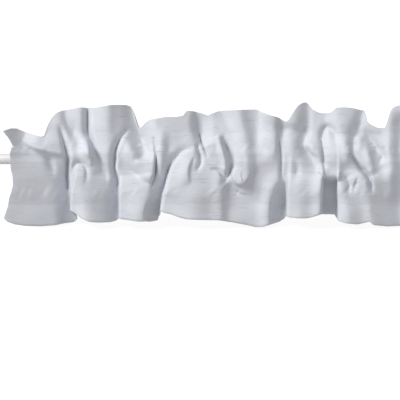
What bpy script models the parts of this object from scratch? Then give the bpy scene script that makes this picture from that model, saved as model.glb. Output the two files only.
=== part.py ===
"""Window valance gathered on a curtain rod.

The cloth is one straight panel, turned over at the top and sewn along two lines.
Those lines part it into a standing heading of double cloth, a rod pocket with a
front and a back layer, and a single skirt. The front face is an even sheet raised
and sunk by a table of folds, and the columns of its mesh follow the cloth's width.

Axes: +X along the rod from its left end, -Y towards the viewer, +Z up.
The origin is the centre of the rod's left end face.
Lengths in this file are millimetres until the meshes are written in metres.
"""

import math

import bpy
import numpy as np

METRES_PER_MM = 0.001

# Rod
ROD_LENGTH = 820.0
ROD_RADIUS = 9.5
ROD_SIDES = 40

# Cloth
CLOTH_START = 35.0
CLOTH_END = 785.0
SHEET_THICKNESS = 1.4
ROD_GAP = 0.7
POCKET_TOP = 23.0
POCKET_BOTTOM = -56.0
UPPER_SEAM_REACH = 13.0
LEAST_HEADING_RISE = 20.0
POCKET_OPENING = 5.0
POCKET_PARTING = 10.0
BACK_LAYER_DEPTH = 11.5
END_FADE = 60.0

# Outlines and folds are given in height as seen, looking down at this angle, so
# that a fold's place stays put when its depth is changed.
SIGHT_TILT = math.radians(12.0)
TYPICAL_DEPTH = 14.0

# Mesh
COLUMNS = 106
SAMPLES = 1501
SKIRT_FRACTIONS = (1.0, 0.8, 0.55, 0.28)
POCKET_HEIGHTS = (POCKET_BOTTOM, -46.0, -34.0, -21.0, -8.0, -2.7, 2.7, 8.0, 15.0, POCKET_TOP)
HEADING_FRACTIONS = (0.22, 0.46, 0.72, 1.0)
ROW_BLEND = 14.0
STEEPEST_SAMPLE = 6.0
RELAX = 0.45
RELAX_PASSES = 1

# Left and right edges: height seen, and how far the edge stands out past the pocket.
LEFT_EDGE = (
    (-118.0, 12.5), (-104.0, 12.2), (-84.0, 5.2), (-69.0, 2.6), (-58.0, -1.0),
    (-46.0, -4.4), (-28.0, -3.5), (-20.0, -0.9), (10.0, 0.3), (15.0, -1.0),
    (20.0, -6.0), (35.0, 1.7), (48.0, 11.4), (55.0, 8.0),
)
RIGHT_EDGE = (
    (-118.0, 9.0), (-84.0, 5.0), (-58.0, 0.0), (-28.0, -3.0), (10.0, 0.0),
    (20.0, -4.0), (48.0, 6.0), (70.0, 9.0),
)

# Hem: distance along the valance and height seen.
HEM = (
    (22.0, -103.0), (30.0, -110.6), (42.0, -115.0), (60.0, -117.6), (86.0, -118.1),
    (112.0, -116.4), (133.0, -111.5), (138.0, -104.5), (142.0, -95.7), (146.0, -90.8),
    (152.0, -94.9), (164.0, -104.5), (177.0, -110.6), (191.0, -112.0), (212.0, -111.3),
    (220.0, -108.9), (226.0, -104.8), (238.0, -106.2), (261.0, -109.7), (282.0, -110.1),
    (294.0, -108.0), (298.0, -100.1), (303.0, -91.4), (310.0, -94.9), (322.0, -97.5),
    (334.0, -102.7), (348.0, -106.2), (366.0, -107.1), (402.0, -108.0), (427.0, -111.5),
    (453.0, -116.7), (467.0, -120.2), (478.0, -119.7), (492.0, -115.0), (506.0, -110.6),
    (514.0, -105.4), (518.0, -101.0), (527.0, -102.7), (541.0, -104.1), (555.0, -104.1),
    (567.0, -101.5), (578.0, -97.5), (593.0, -97.0), (604.0, -97.5), (608.0, -103.6),
    (614.0, -108.9), (628.0, -113.2), (646.0, -115.0), (658.0, -112.2), (667.0, -109.7),
    (674.0, -115.9), (698.0, -118.5), (716.0, -117.6), (742.0, -117.6), (768.0, -112.0),
    (794.0, -101.0),
)

# Top edge of the heading: distance along the valance and height seen.
TOP_EDGE = (
    (23.0, 48.0), (33.0, 52.7), (44.0, 53.0), (52.0, 50.4), (63.0, 45.5), (74.0, 43.0),
    (89.0, 40.4), (94.0, 41.7), (96.5, 48.7), (100.5, 60.9), (107.0, 72.3), (115.5, 81.0),
    (124.0, 84.5), (142.0, 87.2), (157.0, 90.1), (170.0, 89.8), (180.0, 88.6),
    (196.0, 91.5), (212.0, 94.2), (236.0, 94.2), (245.0, 91.5), (249.5, 84.5),
    (252.0, 76.7), (255.5, 64.4), (259.0, 55.7), (263.5, 55.7), (271.0, 63.0),
    (278.0, 67.9), (292.0, 70.5), (308.0, 73.5), (325.5, 73.5), (336.0, 75.8),
    (341.0, 82.8), (345.0, 84.0), (357.0, 83.0), (367.5, 81.0), (380.5, 76.3),
    (388.5, 80.2), (397.0, 83.1), (408.0, 84.5), (436.0, 85.4), (464.0, 86.6),
    (469.0, 84.9), (476.0, 81.0), (488.0, 76.7), (502.0, 72.3), (511.0, 67.9),
    (516.0, 65.3), (520.5, 67.9), (525.0, 74.9), (530.0, 83.7), (537.0, 93.3),
    (544.0, 98.0), (549.5, 99.4), (555.0, 97.1), (562.0, 88.4), (570.5, 82.3),
    (579.0, 80.2), (593.0, 80.5), (600.0, 84.5), (604.0, 89.3), (618.0, 89.8),
    (632.0, 88.9), (646.0, 85.8), (653.5, 84.5), (656.0, 78.0), (658.0, 68.0),
    (663.0, 60.9), (670.0, 57.4), (677.0, 54.3), (689.5, 54.1), (692.5, 62.7),
    (695.0, 71.4), (698.0, 81.9), (702.0, 88.0), (707.0, 91.2), (716.0, 93.6),
    (730.0, 94.0), (746.0, 88.0), (762.0, 76.0), (778.0, 66.0), (794.0, 62.0),
)

# Depth of the even sheet in front of the rod's axis, by height seen.
EVEN_DEPTH = (
    (-120.0, 10.0), (-80.0, 8.0), (-58.0, 10.0), (-35.0, 17.0), (-5.0, 20.0),
    (10.0, 16.0), (22.0, 12.0), (45.0, 10.0), (95.0, 6.0),
)

# Folds, one row each. Ridges have positive heights and valleys negative ones.
# left, right: how far the fold spreads on each side of its line, going up it.
# lean: how far its crest leans over towards the line's left side.
# line: distance along the valance, height seen and height of the fold, from its foot up.
FOLDS = (
    dict(name="first_lobe", left=60, right=75, lean=0, line=(
        (44, -128, 26), (40, -72, 18), (40, -28, 10), (42, 7, 6))),
    dict(name="first_valley", left=15, right=6, lean=0, line=(
        (135, -125, -20), (135, -81, -20), (133, -55, -20), (132, -28, -20),
        (131, -7, -16), (134, 8, -14), (131, 24, -10), (128, 40, 0))),
    dict(name="second_lobe", left=6, right=38, lean=9, line=(
        (145, -125, 38), (145, -93, 36), (147, -72, 32), (150, -51, 26), (151, -30, 20),
        (152, -13, 0))),
    dict(name="second_valley", left=18, right=6, lean=0, line=(
        (215, -125, -18), (215, -72, -20), (217, -48, -20), (217, -34, -18),
        (211, -16, -14), (210, 1, -14), (213, 17, -14), (220, 31, -12), (226, 43, -6))),
    dict(name="third_lobe", left=5, right=48, lean=5, line=(
        (231, -125, 30), (231, -72, 28), (230, -48, 22), (227, -34, 0))),
    dict(name="third_shoulder", left=26, right=11, lean=0, line=(
        (264, -125, 12), (266, -84, 12), (273, -69, 10), (280, -51, 6), (282, -34, 0))),
    dict(name="third_valley", left=14, right=6, lean=0, line=(
        (289, -125, -26), (290, -95, -26), (295, -72, -26), (299, -55, -24),
        (304, -37, -20), (305, -23, -16), (310, -11, -14), (318, 1, -10), (331, 10, 0))),
    dict(name="fourth_lobe", left=6, right=50, lean=8, line=(
        (304, -125, 34), (304, -95, 34), (308, -77, 30), (315, -60, 26), (319, -37, 20),
        (322, -20, 10), (331, -4, 0))),
    dict(name="middle_ridge", left=16, right=5, lean=-3, line=(
        (395, -125, 14), (396, -81, 14), (397, -46, 12), (397, -27, 4))),
    dict(name="middle_trough", left=20, right=20, lean=0, line=(
        (422, -125, -8), (422, -81, -10), (423, -51, -14))),
    dict(name="full_ridge", left=26, right=14, lean=0, line=(
        (474, -125, 20), (474, -81, 18), (476, -46, 12), (478, -16, 6))),
    dict(name="fourth_valley", left=12, right=6, lean=0, line=(
        (504, -125, -24), (504, -81, -24), (507, -55, -22), (508, -34, -18),
        (508, 7, -14), (509, 24, -12), (507, 47, -6))),
    dict(name="fifth_lobe", left=5, right=45, lean=3, line=(
        (520, -125, 24), (519, -93, 24), (521, -72, 22), (523, -46, 18), (525, -23, 6))),
    dict(name="fifth_edge", left=30, right=5, lean=-4, line=(
        (567, -125, 20), (566, -93, 20), (569, -63, 20), (570, -46, 18), (570, -27, 10))),
    dict(name="recess", left=14, right=14, lean=0, line=(
        (592, -125, -22), (592, -81, -22), (592, -48, -22))),
    dict(name="sixth_lobe", left=5, right=28, lean=5, line=(
        (613, -125, 32), (612, -81, 32), (612, -55, 28), (612, -38, 20), (611, -20, 6))),
    dict(name="sixth_trough", left=13, right=13, lean=0, line=(
        (647, -125, -8), (642, -81, -10), (635, -55, -12), (628, -34, -10), (619, -14, -6))),
    dict(name="seventh_ridge", left=13, right=13, lean=0, line=(
        (668, -125, 14), (667, -81, 14), (663, -55, 12), (656, -34, 8))),
    dict(name="slanting_valley", left=8, right=10, lean=0, line=(
        (688, -98, -12), (681, -63, -16), (674, -44, -16), (665, -28, -16),
        (649, -13, -14), (635, 1, -6))),
    dict(name="eighth_ridge", left=8, right=16, lean=0, line=(
        (705, -128, 12), (703, -63, 12), (698, -34, 10), (696, -2, 10), (696, 33, 14),
        (698, 77, 16))),
    dict(name="eighth_trough", left=14, right=14, lean=0, line=(
        (721, -125, -14), (721, -81, -16), (719, -37, -14), (717, 15, -10), (716, 59, -8))),
    dict(name="last_lobe", left=24, right=40, lean=0, line=(
        (758, -128, 26), (754, -63, 20), (751, -2, 12), (751, 68, 14))),
    dict(name="heading_crest", left=8, right=26, lean=5, line=(
        (124, 20, 2), (110, 24, 8), (99, 26, 12), (87, 29, 15), (74, 33, 17),
        (61, 40, 17), (42, 50, 8))),
    dict(name="heading_dent", left=9, right=9, lean=0, line=(
        (142, 31, -6), (133, 45, -12), (124, 64, -12), (121, 85, -8))),
    dict(name="heading_valley_1", left=7, right=12, lean=0, line=(
        (192, -34, -6), (191, -16, -12), (185, -2, -14), (177, 14, -16), (170, 31, -20),
        (165, 50, -24), (165, 71, -24), (166, 94, -24))),
    dict(name="pocket_ridge_1", left=14, right=6, lean=0, line=(
        (164, -2, 8), (163, 15, 12), (163, 33, 6))),
    dict(name="heading_ridge_1", left=20, right=20, lean=0, line=(
        (201, -11, 8), (199, 15, 10), (196, 50, 14), (194, 96, 16))),
    dict(name="heading_valley_2", left=22, right=7, lean=0, line=(
        (262, 12, -6), (257, 29, -16), (248, 47, -22), (247, 71, -24), (247, 96, -24))),
    dict(name="pocket_ridge_2", left=10, right=10, lean=0, line=(
        (236, 1, 6), (236, 19, 8), (234, 31, 4))),
    dict(name="pocket_bump", left=12, right=12, lean=0, line=(
        (275, -30, 6), (261, -13, 8), (240, -2, 4))),
    dict(name="heading_ridge_2", left=12, right=12, lean=0, line=(
        (276, -2, 8), (277, 33, 12), (276, 64, 12))),
    dict(name="pocket_ridge_3", left=9, right=9, lean=0, line=(
        (297, -20, 6), (297, 15, 10), (299, 42, 4))),
    dict(name="heading_valley_3", left=20, right=8, lean=0, line=(
        (362, -23, -6), (364, -2, -14), (362, 19, -16), (355, 36, -20), (353, 59, -22),
        (353, 89, -22))),
    dict(name="heading_ridge_3", left=15, right=15, lean=0, line=(
        (387, 15, 8), (385, 50, 14), (383, 89, 14))),
    dict(name="pocket_valley", left=6, right=9, lean=0, line=(
        (411, -37, -16), (416, -20, -18), (416, -2, -18), (411, 15, -18), (404, 33, -14),
        (401, 54, -4))),
    dict(name="heading_ridge_4", left=18, right=6, lean=0, line=(
        (444, 7, 6), (443, 28, 14), (439, 47, 16), (434, 68, 16), (430, 94, 16))),
    dict(name="heading_trough_4", left=12, right=12, lean=0, line=(
        (448, -11, -6), (453, 15, -8), (453, 50, -8), (453, 94, -8))),
    dict(name="pocket_tongue", left=12, right=18, lean=0, line=(
        (437, -44, 14), (437, -20, 14), (436, 7, 8))),
    dict(name="heading_ridge_5", left=12, right=18, lean=0, line=(
        (476, -16, 8), (478, 15, 12), (478, 50, 14), (476, 89, 14))),
    dict(name="heading_ridge_6", left=11, right=11, lean=0, line=(
        (523, -11, 6), (525, 15, 10), (527, 47, 10), (532, 75, 8))),
    dict(name="horn_valley", left=14, right=9, lean=0, line=(
        (567, -11, -6), (553, 3, -16), (542, 22, -22), (542, 42, -24), (546, 68, -24),
        (549, 103, -22))),
    dict(name="horn_ridge", left=9, right=16, lean=0, line=(
        (579, -16, 4), (563, 5, 10), (551, 22, 14), (553, 47, 12), (556, 77, 10))),
    dict(name="hook", left=7, right=7, lean=0, line=(
        (579, -11, -6), (574, 15, -8), (572, 36, -8), (577, 50, -8), (590, 52, -6),
        (595, 36, 0))),
    dict(name="heading_ridge_7", left=12, right=9, lean=0, line=(
        (600, -20, 8), (604, 12, 12), (604, 42, 14), (602, 91, 14))),
    dict(name="pocket_ridge_7", left=9, right=9, lean=0, line=(
        (623, -16, 8), (626, 7, 10), (621, 28, 6))),
    dict(name="heading_valley_8", left=24, right=6, lean=0, line=(
        (628, 12, -8), (632, 33, -16), (637, 52, -18), (646, 70, -18), (654, 89, -16))),
    dict(name="heading_valley_9", left=13, right=13, lean=0, line=(
        (688, -2, -10), (674, 10, -14), (663, 29, -16), (661, 50, -14), (668, 68, -14))),
    dict(name="pocket_ridge_9", left=8, right=8, lean=0, line=(
        (667, -16, 6), (661, 7, 8), (656, 22, 4))),
    dict(name="pocket_overhang", left=9, right=20, lean=0, line=(
        (607, -35, 6), (593, -34, 10), (581, -27, 12), (572, -20, 4))),
)
PATH_STEPS = 6


def smooth_path(points):
    """Points read off a smooth curve through a fold's own points."""
    corners = np.array(points, dtype=float)
    padded = np.vstack([2 * corners[0] - corners[1], corners, 2 * corners[-1] - corners[-2]])
    path = []
    for index in range(len(corners) - 1):
        before, start, end, after = padded[index:index + 4]
        for step in range(PATH_STEPS):
            t = step / PATH_STEPS
            path.append(0.5 * (2 * start + (end - before) * t
                               + (2 * before - 5 * start + 4 * end - after) * t ** 2
                               + (3 * start - before - 3 * end + after) * t ** 3))
    path.append(corners[-1])
    return np.array(path)


def nearest_on_path(x, height, path):
    """Signed distance from a path (left of it is negative), the fold's height there
    and the direction of the path's left side."""
    best = np.full(x.shape, np.inf)
    signed = np.zeros(x.shape)
    fold_height = np.zeros(x.shape)
    left_x = np.zeros(x.shape)
    left_z = np.zeros(x.shape)
    for start, end in zip(path[:-1], path[1:]):
        run = end[:2] - start[:2]
        length = math.hypot(*run)
        along = ((x - start[0]) * run[0] + (height - start[1]) * run[1]) / length ** 2
        along = np.clip(along, 0.0, 1.0)
        off_x = x - (start[0] + along * run[0])
        off_z = height - (start[1] + along * run[1])
        distance = np.hypot(off_x, off_z)
        side = np.where(run[0] * off_z - run[1] * off_x > 0.0, -1.0, 1.0)
        nearer = distance < best
        best = np.where(nearer, distance, best)
        signed = np.where(nearer, side * distance, signed)
        fold_height = np.where(nearer, start[2] + along * (end[2] - start[2]), fold_height)
        left_x = np.where(nearer, -run[1] / length, left_x)
        left_z = np.where(nearer, run[0] / length, left_z)
    return signed, fold_height, left_x, left_z


def raise_folds(x, height, depth):
    """Add every fold to an even sheet: returns the moved x, height and depth."""
    shift_x = np.zeros(x.shape)
    shift_z = np.zeros(x.shape)
    for fold in FOLDS:
        signed, fold_height, left_x, left_z = nearest_on_path(x, height, smooth_path(fold["line"]))
        spread = np.where(signed < 0.0, float(fold["left"]), float(fold["right"]))
        profile = np.exp(-(signed / spread) ** 2)
        depth = depth + fold_height * profile
        tallest = max(abs(point[2]) for point in fold["line"])
        lean = fold["lean"] * profile * np.abs(fold_height) / tallest
        shift_x += lean * left_x
        shift_z += lean * left_z
    return x + shift_x, height + shift_z, depth


def read_table(table, at):
    """Read a two-column table between its rows."""
    columns = np.array(table, dtype=float)
    return np.interp(at, columns[:, 0], columns[:, 1])


def soft_max(a, b, softness=3.0):
    """The larger of two values, with a rounded change-over."""
    return 0.5 * (a + b + np.sqrt((a - b) ** 2 + softness ** 2))


def rod_clearance(z):
    """Least distance of a layer's middle from the plane through the rod's axis:
    round the rod's side, then straight on at 45 degrees above and below it."""
    clear = ROD_RADIUS + ROD_GAP + SHEET_THICKNESS / 2
    bend = clear / math.sqrt(2.0)
    around = np.sqrt(np.maximum(clear ** 2 - z ** 2, 0.0))
    return np.where(np.abs(z) < bend, around, 2.0 * bend - np.abs(z))


def height_seen(z, depth):
    """Height on a plane square to the line of sight."""
    return z * math.cos(SIGHT_TILT) - depth * math.sin(SIGHT_TILT)


def true_height(seen, depth):
    """Height above the rod's axis of a point seen at a given height."""
    return (seen + depth * math.sin(SIGHT_TILT)) / math.cos(SIGHT_TILT)


def sheet_rows():
    """Every row of the front face: its zone and where it lies in that zone."""
    rows = [("skirt", fraction) for fraction in SKIRT_FRACTIONS]
    rows += [("pocket", z) for z in POCKET_HEIGHTS]
    rows += [("heading", fraction) for fraction in HEADING_FRACTIONS]
    return rows


def ends_moved(along, height):
    """Shift both ends of a row so that they follow the valance's edges."""
    from_left = np.clip((along - CLOTH_START) / END_FADE, 0.0, 1.0)
    from_right = np.clip((CLOTH_END - along) / END_FADE, 0.0, 1.0)
    fade_left = 0.5 + 0.5 * np.cos(math.pi * from_left)
    fade_right = 0.5 + 0.5 * np.cos(math.pi * from_right)
    return (along - read_table(LEFT_EDGE, height) * fade_left
            + read_table(RIGHT_EDGE, height) * fade_right)


def sampled_row(zone, place, along):
    """One row of the front layer's middle surface, as x, y and z."""
    low_seen = height_seen(POCKET_BOTTOM, TYPICAL_DEPTH)
    high_seen = height_seen(POCKET_TOP, TYPICAL_DEPTH)
    if zone == "pocket":
        seen = np.full(along.shape, height_seen(place, TYPICAL_DEPTH))
        edge = None
    elif zone == "skirt":
        edge = read_table(HEM, ends_moved(along, np.full(along.shape, HEM[0][1])))
        seen = low_seen + place * (edge - low_seen)
    else:
        edge = read_table(TOP_EDGE, ends_moved(along, np.full(along.shape, TOP_EDGE[0][1])))
        seen = high_seen + place * (edge - high_seen)
    x, moved, depth = raise_folds(ends_moved(along, seen), seen, read_table(EVEN_DEPTH, seen))
    if zone == "pocket":
        z = np.full(along.shape, place)
        if place == POCKET_TOP:
            depth = -soft_max(-depth, -UPPER_SEAM_REACH)
        depth = soft_max(depth, rod_clearance(z))
        return x, -depth, z
    start = POCKET_BOTTOM if zone == "skirt" else POCKET_TOP
    z = start + place * (true_height(edge, depth) - start) + (moved - seen)
    if zone == "heading":
        z = np.maximum(z, POCKET_TOP + place * LEAST_HEADING_RISE)
    depth = soft_max(depth, rod_clearance(z))
    return x, -depth, z


def spread_columns(rows):
    """Choose columns evenly along the cloth's own width, in step from row to row."""
    stretch = []
    heights = []
    for x, y, z in rows:
        step = np.hypot(np.diff(x), np.diff(y))
        stretch.append(np.clip(step / (CLOTH_END - CLOTH_START) * (SAMPLES - 1), 0.3, STEEPEST_SAMPLE))
        heights.append(z.mean())
    stretch = np.array(stretch)
    heights = np.array(heights)
    picked = []
    for row, (x, y, z) in enumerate(rows):
        weight = np.exp(-((heights - heights[row]) / ROW_BLEND) ** 2)
        density = (stretch * weight[:, None]).sum(axis=0) / weight.sum()
        total = np.concatenate([[0.0], np.cumsum(density)])
        wanted = np.linspace(0.0, total[-1], COLUMNS + 1)
        at = np.interp(wanted, total, np.arange(SAMPLES))
        picked.append([np.interp(at, np.arange(SAMPLES), values) for values in (x, y, z)])
    return np.array(picked).transpose(0, 2, 1)


def relax(points):
    """Ease the sharpest creases, which the cloth's thickness couldn't turn round."""
    for _ in range(RELAX_PASSES):
        eased = points.copy()
        eased[:, 1:-1] += RELAX * (0.5 * (points[:, :-2] + points[:, 2:]) - points[:, 1:-1])
        points = eased
    points[:, :, 1] = -np.maximum(-points[:, :, 1], rod_clearance(points[:, :, 2]))
    return points


def back_layer(front, pocket_rows):
    """The pocket's back layer: it leaves the front at both seams and passes behind the rod."""
    back = front[pocket_rows].copy()
    count = len(back)
    for row in range(1, count - 1):
        z = back[row, :, 2]
        from_seam = min(POCKET_HEIGHTS[row] - POCKET_BOTTOM, POCKET_TOP - POCKET_HEIGHTS[row])
        apart = 1.0 - math.exp(-from_seam / POCKET_PARTING)
        own = (1.0 - apart) * back[row, :, 1] + apart * BACK_LAYER_DEPTH
        least = back[row, :, 1] + SHEET_THICKNESS + apart * POCKET_OPENING
        back[row, :, 1] = soft_max(soft_max(own, least, 1.0), rod_clearance(z), 1.0)
    return back


def surface_normals(points):
    """Unit normals of a grid of points, towards the viewer on an even sheet."""
    up = np.gradient(points, axis=0)
    across = np.gradient(points, axis=1)
    normals = np.cross(across, up)
    return normals / np.linalg.norm(normals, axis=2, keepdims=True)


def build_cloth():
    """The whole cloth as one closed sheet with the rod pocket through it."""
    along = np.linspace(CLOTH_START, CLOTH_END, SAMPLES)
    rows = sheet_rows()
    front = relax(spread_columns([sampled_row(zone, place, along) for zone, place in rows]))
    normals = surface_normals(front)
    first = len(SKIRT_FRACTIONS)
    last = first + len(POCKET_HEIGHTS) - 1
    pocket = slice(first, last + 1)
    back = back_layer(front, pocket)
    back_normals = surface_normals(back)

    half = SHEET_THICKNESS / 2
    reach = np.full(len(rows), half)
    reach[first] = SHEET_THICKNESS
    reach[last:] = SHEET_THICKNESS
    outer_front = front + normals * reach[:, None, None]
    outer_back = front - normals * reach[:, None, None]
    outer_back[first + 1:last] = (back - back_normals * half)[1:-1]
    for seam, layer_row in ((first, 0), (last, -1)):
        outward = normals[seam] + back_normals[layer_row]
        outward /= np.linalg.norm(outward, axis=1, keepdims=True)
        outer_back[seam] = front[seam] - outward * SHEET_THICKNESS
    inner_front = (front - normals * half)[pocket]
    inner_back = back + back_normals * half
    inner_front[0] = front[first]
    inner_front[-1] = front[last]
    inner_front = inner_front[:-1]
    inner_back = inner_back[1:]
    inner_back[-1] = front[last]

    # The outside runs up the front and down the back; the inside runs round the pocket.
    outside = np.concatenate([outer_front, outer_back[::-1]])
    inside = np.concatenate([inner_front, inner_back[::-1]])
    count = COLUMNS + 1
    vertices = np.concatenate([outside.reshape(-1, 3), inside.reshape(-1, 3)]) * METRES_PER_MM
    inside_start = len(outside) * count
    faces = []
    for row in range(len(outside)):
        above = (row + 1) % len(outside)
        for column in range(COLUMNS):
            faces.append((row * count + column, row * count + column + 1,
                          above * count + column + 1, above * count + column))
    for row in range(len(inside)):
        above = (row + 1) % len(inside)
        for column in range(COLUMNS):
            faces.append((inside_start + row * count + column,
                          inside_start + above * count + column,
                          inside_start + above * count + column + 1,
                          inside_start + row * count + column + 1))
    for column, flipped in ((0, False), (COLUMNS, True)):
        for face in end_faces(len(rows), first, last, len(inside)):
            corners = [place * count + column if ring == "outside"
                       else inside_start + place * count + column for ring, place in face]
            faces.append(tuple(reversed(corners)) if flipped else tuple(corners))
    return vertices, faces


def end_faces(row_count, first, last, inside_count):
    """Faces that close one side edge of the cloth, each as (ring, place in that ring)."""
    def behind(row):
        return 2 * row_count - 1 - row

    faces = []
    for row in range(row_count - 1):
        if first <= row < last:
            front_low = row - first
            front_high = front_low + 1
            back_low = (inside_count - (row - first)) % inside_count
            back_high = inside_count - (row + 1 - first)
            faces.append((("outside", row), ("outside", row + 1),
                          ("inside", front_high), ("inside", front_low)))
            faces.append((("inside", back_low), ("inside", back_high),
                          ("outside", behind(row + 1)), ("outside", behind(row))))
            continue
        low = [("outside", row)]
        high = [("outside", row + 1)]
        if row + 1 == first:
            high.append(("inside", 0))
        if row == last:
            low.append(("inside", last - first))
        faces.append(tuple(low[:1] + high[:1] + high[1:] + [("outside", behind(row + 1)),
                     ("outside", behind(row))] + low[1:]))
    return faces


def cloth_material():
    material = bpy.data.materials.new("pale_slub_cloth")
    material.use_nodes = True
    shader = material.node_tree.nodes["Principled BSDF"]
    shader.inputs["Base Color"].default_value = (0.70, 0.72, 0.76, 1.0)
    shader.inputs["Roughness"].default_value = 0.85
    shader.inputs["Metallic"].default_value = 0.0
    return material


def rod_material():
    material = bpy.data.materials.new("white_enamel")
    material.use_nodes = True
    shader = material.node_tree.nodes["Principled BSDF"]
    shader.inputs["Base Color"].default_value = (0.80, 0.79, 0.78, 1.0)
    shader.inputs["Roughness"].default_value = 0.35
    shader.inputs["Metallic"].default_value = 0.0
    return material


def add_object(name, vertices, faces, material):
    mesh = bpy.data.meshes.new(name)
    mesh.from_pydata([tuple(point) for point in vertices], [], faces)
    mesh.update()
    mesh.shade_smooth()
    mesh.set_sharp_from_angle(angle=math.radians(50.0))
    mesh.materials.append(material)
    piece = bpy.data.objects.new(name, mesh)
    bpy.context.scene.collection.objects.link(piece)
    return piece


def build_rod():
    """A plain round rod along X, with flat closed ends."""
    ring = [(ROD_RADIUS * math.cos(2 * math.pi * side / ROD_SIDES),
             ROD_RADIUS * math.sin(2 * math.pi * side / ROD_SIDES)) for side in range(ROD_SIDES)]
    vertices = [(x, y, z) for x in (0.0, ROD_LENGTH) for y, z in ring]
    faces = [tuple(reversed(range(ROD_SIDES))), tuple(range(ROD_SIDES, 2 * ROD_SIDES))]
    for side in range(ROD_SIDES):
        following = (side + 1) % ROD_SIDES
        faces.append((side, following, ROD_SIDES + following, ROD_SIDES + side))
    return np.array(vertices) * METRES_PER_MM, faces


def main():
    for leftover in list(bpy.data.objects):
        bpy.data.objects.remove(leftover, do_unlink=True)
    vertices, faces = build_cloth()
    add_object("valance_cloth", vertices, faces, cloth_material())
    vertices, faces = build_rod()
    add_object("curtain_rod", vertices, faces, rod_material())


main()
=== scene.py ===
"""The look of a window valance gathered on a curtain rod.

The cloth is rebuilt as one fine closed sheet on the folds of its solid, with the
smaller creases, the puckers along the seams, the stitching and the slubbed weave.
Lengths in this file are millimetres until the meshes are written in metres.
"""

import math

import bpy
import numpy as np
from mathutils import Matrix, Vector, noise


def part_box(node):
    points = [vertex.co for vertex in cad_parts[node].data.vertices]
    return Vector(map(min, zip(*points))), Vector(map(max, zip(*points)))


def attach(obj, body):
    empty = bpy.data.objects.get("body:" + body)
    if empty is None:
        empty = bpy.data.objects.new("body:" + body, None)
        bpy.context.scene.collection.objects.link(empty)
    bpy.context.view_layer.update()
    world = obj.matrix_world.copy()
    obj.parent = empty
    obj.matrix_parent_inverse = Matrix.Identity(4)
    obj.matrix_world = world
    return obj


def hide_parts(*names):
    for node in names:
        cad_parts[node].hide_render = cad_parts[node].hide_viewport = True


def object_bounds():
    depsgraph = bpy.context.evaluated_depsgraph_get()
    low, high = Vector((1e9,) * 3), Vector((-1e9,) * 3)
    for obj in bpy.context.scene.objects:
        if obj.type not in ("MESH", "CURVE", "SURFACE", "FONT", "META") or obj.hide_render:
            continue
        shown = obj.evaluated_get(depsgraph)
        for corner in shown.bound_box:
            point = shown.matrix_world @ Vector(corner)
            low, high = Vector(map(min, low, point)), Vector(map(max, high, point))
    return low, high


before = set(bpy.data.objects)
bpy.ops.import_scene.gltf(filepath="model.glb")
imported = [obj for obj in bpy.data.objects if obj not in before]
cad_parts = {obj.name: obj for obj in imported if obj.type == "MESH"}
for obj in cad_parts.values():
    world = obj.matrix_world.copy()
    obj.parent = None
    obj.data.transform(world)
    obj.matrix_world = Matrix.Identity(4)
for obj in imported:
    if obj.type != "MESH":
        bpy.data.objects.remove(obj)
CAD_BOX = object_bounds()

METRES_PER_MM = 0.001

# The rod and the pocket round it, as in the solid
ROD_RADIUS = 9.5
CLOTH_START = 35.0
CLOTH_END = 785.0
SHEET_THICKNESS = 1.4
ROD_GAP = 0.7
POCKET_TOP = 23.0
POCKET_BOTTOM = -56.0
LEAST_HEADING_RISE = 20.0

# How far in the edges' own outline is felt, and how softly each layer meets the rod
END_FADE = 60.0
FRONT_ROUNDING = 3.0
BACK_ROUNDING = 1.0

# The pocket's back layer: how it parts from the front layer at the seams, and its gathers
POCKET_OPENING = 5.0
POCKET_PARTING = 10.0
BACK_LAYER_DEPTH = 11.5
GATHER_HEIGHT = 2.5
GATHER_LENGTH = 15.0
GATHER_DRIFT = 45.0
GATHER_BEND = 6.0

# Cut sizes of the one panel: skirt, two layers of pocket, two of heading
SKIRT_LENGTH = 62.0
POCKET_LENGTH = 82.0
HEADING_LENGTH = 75.0

# Outlines and folds are given in height as seen, looking down at this angle
SIGHT_TILT = math.radians(12.0)
TYPICAL_DEPTH = 20.0

# Fine mesh: the hidden layers keep one row in two
COLUMNS = 470
SKIRT_ROWS = 32
POCKET_ROWS = 40
HEADING_ROWS = 34
COARSE_STEP = 2

# How the columns are chosen from finer samples, and how finely the folds are traced
SAMPLES = 2401
ROW_BLEND = 14.0
LEAST_STRETCH = 0.3
MOST_STRETCH = 6.0
SHARPEST_TURN = 0.3
BEND_WEIGHT = 14.0
PATH_STEPS = 6
FOLD_REACH = 3.0

# Surface of the cloth
FLAT_WIDTH = 980.0
WAVE_LENGTH = 34.0
WAVE_HEIGHT = 1.6
PUCKER_LENGTH = 9.0
PUCKER_HEIGHT = 1.0
PUCKER_REACH = 9.0
PUCKER_STRETCH = 4.0
PUCKER_SEED = 7.0
SEAM_GROOVE = 0.12
SEAM_GROOVE_WIDTH = 3.0
SEAM_EASE = 16.0
HEM_DEPTH = 11.0
HEM_THICKENING = 0.7
HEM_ROLL = 1.6
HEM_ROLL_REACH = 1.8
SHARP_ANGLE = 55.0

# Weave, in metres. Noise is stretched by these factors across and up the flat panel.
WEAVE_BUMP = 0.7
WEAVE_DEPTH = 0.0004
WEFT_PITCH = 0.0008
WARP_PITCH = 0.0006
THREAD_PITCH = 0.0007
WAVE_PER_METRE = math.pi / 10.0
LONG_SLUBS = (24.0, 620.0, 1.0)
LONG_SLUB_RANGE = (0.60, 0.74)
SHORT_SLUBS = (70.0, 900.0, 1.0)
SHORT_SLUB_RANGE = (0.66, 0.80)
YARNS = (110.0, 2600.0, 1.0)
PATCHES = (9.0, 14.0, 1.0)
CLOTH_SHADE = (0.50, 0.516, 0.563, 1.0)
CLOTH_LIGHT = (0.695, 0.712, 0.758, 1.0)
CLOTH_ROUGHNESS = (0.78, -0.12)
CLOTH_SHEEN = {"Sheen Weight": 0.12, "Sheen Roughness": 0.4, "Specular IOR Level": 0.25}

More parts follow.
